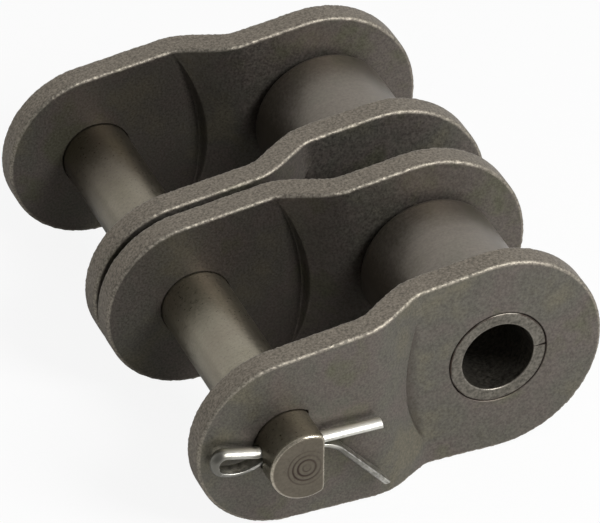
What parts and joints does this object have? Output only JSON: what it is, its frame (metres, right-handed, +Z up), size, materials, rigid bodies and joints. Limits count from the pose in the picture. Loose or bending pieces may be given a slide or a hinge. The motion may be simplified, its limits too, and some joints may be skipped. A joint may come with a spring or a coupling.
{
  "type": "offset chain link",
  "caption": "Cranked double-strand roller chain link that joins an odd number of pitches, with rollers on bushes, one long pin and a split pin.",
  "frame": {"origin": "on the surface the link rests on, under the middle of its overall box", "axes": "+X along the chain from the pin to the bushes, +Y along the pin from its flatted front end to its head, +Z up"},
  "size_m": [0.0358, 0.05, 0.0181],
  "materials": {
    "side_plates": "heat-treated dark grey steel with a fine oiled grain and sheared edges",
    "bushes": "curled case-hardened steel with a seam",
    "rollers": "satin case-hardened steel",
    "link_pin": "ground and oiled steel",
    "split_pin": "bright zinc-plated wire"
  },
  "bodies": {
    "front_strand": {"front_outer_plate": "side_plates", "front_middle_plate": "side_plates", "front_bush": "bushes", "link_pin": "link_pin", "split_pin": "split_pin"},
    "rear_strand": {"rear_middle_plate": "side_plates", "rear_outer_plate": "side_plates", "rear_bush": "bushes"},
    "front_roller": {"front_roller": "rollers"},
    "rear_roller": {"rear_roller": "rollers"}
  },
  "joints": [
    {"name": "rear_strand_swing", "type": "hinge", "parent": "front_strand", "child": "rear_strand", "pos_m": [-0.01015, 0.00112, 0.00775], "axis": [0, 1, 0], "continuous": true},
    {"name": "front_roller_spin", "type": "hinge", "parent": "front_strand", "child": "front_roller", "pos_m": [0.00886, -0.01026, 0.00904], "axis": [0, 1, 0], "continuous": true},
    {"name": "rear_roller_spin", "type": "hinge", "parent": "rear_strand", "child": "rear_roller", "pos_m": [0.00886, 0.01252, 0.00904], "axis": [0, 1, 0], "continuous": true}
  ]
}
